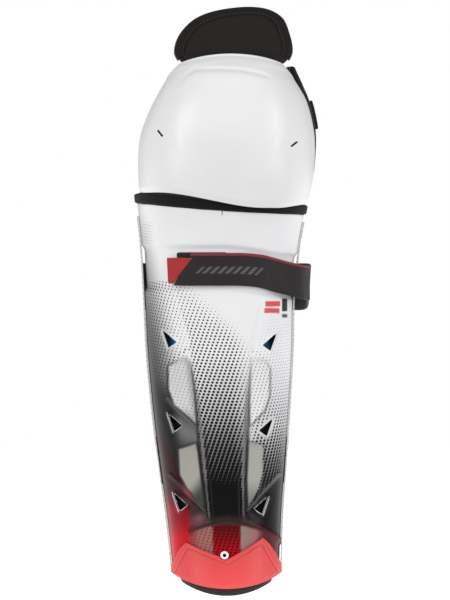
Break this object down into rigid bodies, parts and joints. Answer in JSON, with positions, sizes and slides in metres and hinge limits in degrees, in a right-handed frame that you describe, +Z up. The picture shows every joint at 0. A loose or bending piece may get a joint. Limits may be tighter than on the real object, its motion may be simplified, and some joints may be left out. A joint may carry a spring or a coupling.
{
  "type": "hockey shin guard",
  "caption": "Ice hockey shin guard for the right leg: hard knee cap and vented shin shell over foam, with a liner, calf wings, thigh flap and hook-and-loop straps.",
  "frame": {"origin": "lower end of the leg channel, level with the hem's lowest edge, on the line midway between the bottom edges of the shell", "axes": "+Z up the shin towards the thigh, -Y towards the front of the leg, +X towards the viewer's right when the front faces the viewer"},
  "size_m": [0.1533, 0.168, 0.4925],
  "materials": {
    "shell_plastic": "glossy white moulding printed with black and red dots",
    "cap_plastic": "glossy white moulding",
    "wing_plastic": "matt black moulding",
    "red_overlay": "satin coral red moulded overlay",
    "eyelet_paint": "white painted eyelet",
    "black_fabric": "woven black nylon, matt",
    "black_neoprene": "soft black knit over foam",
    "blue_foam": "dark blue closed-cell foam",
    "liner_fabric": "brushed wicking knit, charcoal",
    "white_binding": "white sewn edge tape",
    "red_piping": "red piped webbing",
    "strap_webbing": "black hook-and-loop strap webbing",
    "elastic": "ribbed black elastic",
    "hook_pile": "hook-and-loop face"
  },
  "bodies": {
    "shin": {"shin_shell": "shell_plastic", "shin_backing": "blue_foam", "edge_binding_left": "white_binding", "edge_binding_right": "white_binding", "ankle_hem": "black_neoprene", "ankle_overlay": "red_overlay", "eyelet": "eyelet_paint", "strap_landing": "hook_pile", "liner_hook_patches": "hook_pile", "wing_gusset_left": "black_neoprene", "wing_gusset_right": "black_neoprene", "knee_bridge": "black_neoprene", "upper_strap_elastic": "elastic", "upper_strap_fold": "strap_webbing", "upper_strap_anchor": "black_fabric", "lower_strap_fold": "elastic", "lower_strap_anchor": "black_fabric"},
    "liner": {"liner_sheet": "liner_fabric", "liner_pads_left": "liner_fabric", "liner_pads_centre": "liner_fabric", "liner_pads_right": "liner_fabric"},
    "calf_wing_left": {"calf_wing_pad_left": "black_neoprene", "calf_wing_plate_left": "wing_plastic"},
    "calf_wing_right": {"calf_wing_pad_right": "black_neoprene", "calf_wing_plate_right": "wing_plastic"},
    "knee": {"knee_cap": "cap_plastic", "knee_cap_lashings": "black_fabric", "knee_cap_foam": "blue_foam", "knee_lining": "liner_fabric", "knee_donut": "liner_fabric", "knee_wing_left": "black_neoprene", "knee_wing_right": "black_neoprene", "knee_wing_tab": "hook_pile", "thigh_flap_hinge": "black_fabric"},
    "thigh_flap": {"thigh_flap_front": "black_fabric", "thigh_flap_back": "liner_fabric", "thigh_flap_binding": "black_fabric"},
    "upper_strap": {"upper_strap_front": "strap_webbing", "upper_strap_backing": "hook_pile", "upper_strap_tip": "red_piping", "upper_strap_piping": "red_piping"},
    "lower_strap": {"lower_strap_elastic": "elastic", "lower_strap_tip": "strap_webbing"}
  },
  "joints": [
    {"name": "liner_height", "type": "slide", "parent": "shin", "child": "liner", "axis": [0, 0, 1], "range_m": [0, 0.0254]},
    {"name": "calf_wing_left_bend", "type": "hinge", "parent": "shin", "child": "calf_wing_left", "pos_m": [-0.0543, 0.02695, 0.15], "axis": [0.0977, -0.0339, -0.9946], "range_deg": [-3, 30], "stiffness_Nm_per_rad": 0.6, "deforming": ["wing_gusset_left"]},
    {"name": "calf_wing_right_bend", "type": "hinge", "parent": "shin", "child": "calf_wing_right", "pos_m": [0.0478, 0.02695, 0.15], "axis": [0.0499, 0.034, 0.9982], "range_deg": [-3, 30], "stiffness_Nm_per_rad": 0.6, "deforming": ["wing_gusset_right"]},
    {"name": "knee_flex", "type": "hinge", "parent": "shin", "child": "knee", "pos_m": [0, 0.01, 0.324], "axis": [-1, 0, 0], "range_deg": [-3, 12], "stiffness_Nm_per_rad": 8, "deforming": ["knee_bridge"]},
    {"name": "thigh_flap_bend", "type": "hinge", "parent": "knee", "child": "thigh_flap", "pos_m": [0.0062, -0.016, 0.438], "axis": [-1, 0, 0], "range_deg": [-5, 25], "stiffness_Nm_per_rad": 1.5, "deforming": ["thigh_flap_hinge"]},
    {"name": "upper_strap_peel", "type": "hinge", "parent": "shin", "child": "upper_strap", "pos_m": [0.0696, 0.0085, 0.26], "axis": [0, 0, 1], "range_deg": [0, 110], "deforming": ["upper_strap_fold"]},
    {"name": "lower_strap_swing", "type": "hinge", "parent": "shin", "child": "lower_strap", "pos_m": [-0.057, 0.0295, 0.11], "axis": [0, 0, 1], "range_deg": [0, 100], "deforming": ["lower_strap_fold"]}
  ]
}
